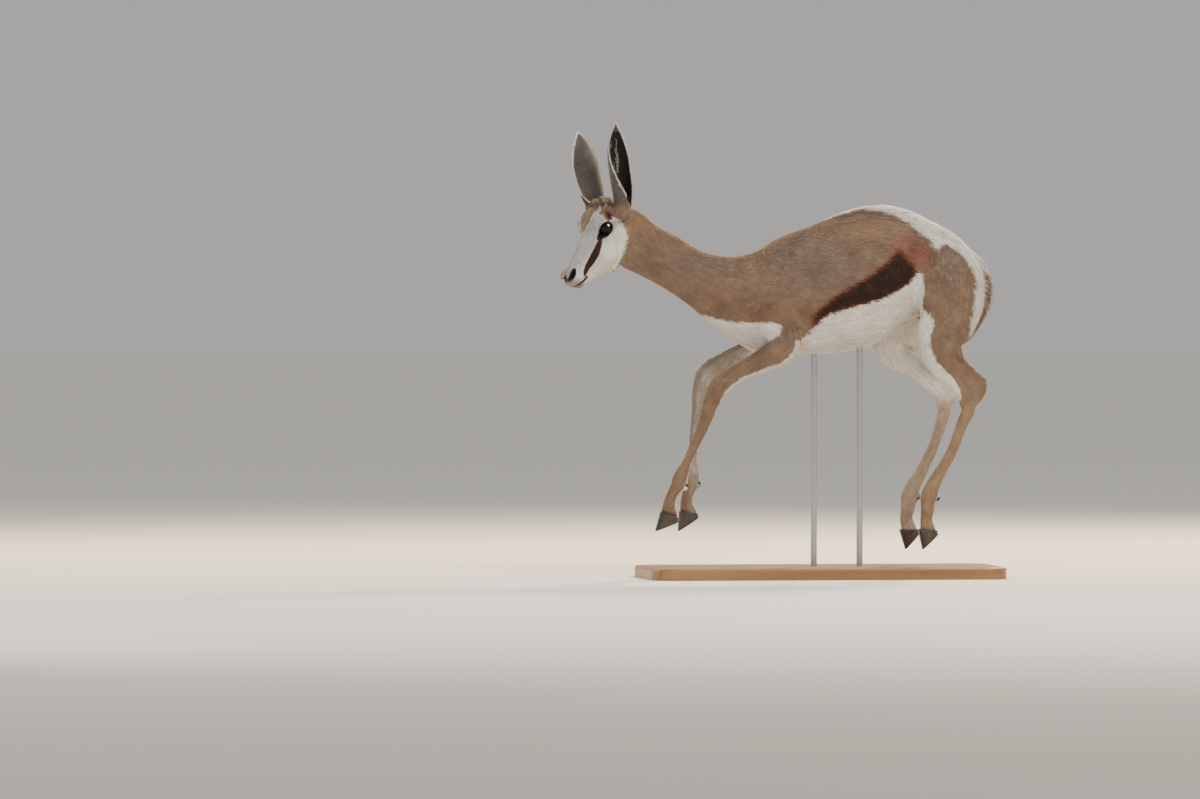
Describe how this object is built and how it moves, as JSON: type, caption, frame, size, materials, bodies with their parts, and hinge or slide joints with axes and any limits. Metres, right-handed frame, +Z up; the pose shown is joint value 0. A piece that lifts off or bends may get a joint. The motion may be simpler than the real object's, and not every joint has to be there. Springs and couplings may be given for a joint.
{
  "type": "springbok",
  "caption": "Life-size model of a young springbok leaping with arched back, legs drawn down and head turned, held above a flat base by rods.",
  "frame": {"origin": "centre of the underside of the stand's flat base", "axes": "+Z up; the animal faces -X and its left side is -Y"},
  "size_m": [0.8454, 0.3, 0.8629],
  "materials": {
    "coat": "short flat hair",
    "horn": "satin horn",
    "hoof": "polished horn",
    "eye": "polished glass",
    "base_wood": "oiled oak",
    "rod_steel": "brushed"
  },
  "bodies": {
    "root": {"ear_left": "coat", "ear_right": "coat", "eye_left": "eye", "eye_right": "eye", "foreleg_left_cannon": "coat", "foreleg_left_foot": "coat", "foreleg_left_upper": "coat", "foreleg_right_cannon": "coat", "foreleg_right_foot": "coat", "foreleg_right_upper": "coat", "head": "coat", "hindleg_left_cannon": "coat", "hindleg_left_foot": "coat", "hindleg_left_upper": "coat", "hindleg_right_cannon": "coat", "hindleg_right_foot": "coat", "hindleg_right_upper": "coat", "hoof_fore_left_inner": "hoof", "hoof_fore_left_outer": "hoof", "hoof_fore_right_inner": "hoof", "hoof_fore_right_outer": "hoof", "hoof_hind_left_inner": "hoof", "hoof_hind_left_outer": "hoof", "hoof_hind_right_inner": "hoof", "hoof_hind_right_outer": "hoof", "horn_left": "horn", "horn_right": "horn", "neck": "coat", "stand_base": "base_wood", "stand_rod_front": "rod_steel", "stand_rod_rear": "rod_steel", "tail": "coat", "torso": "coat"}
  },
  "joints": []
}
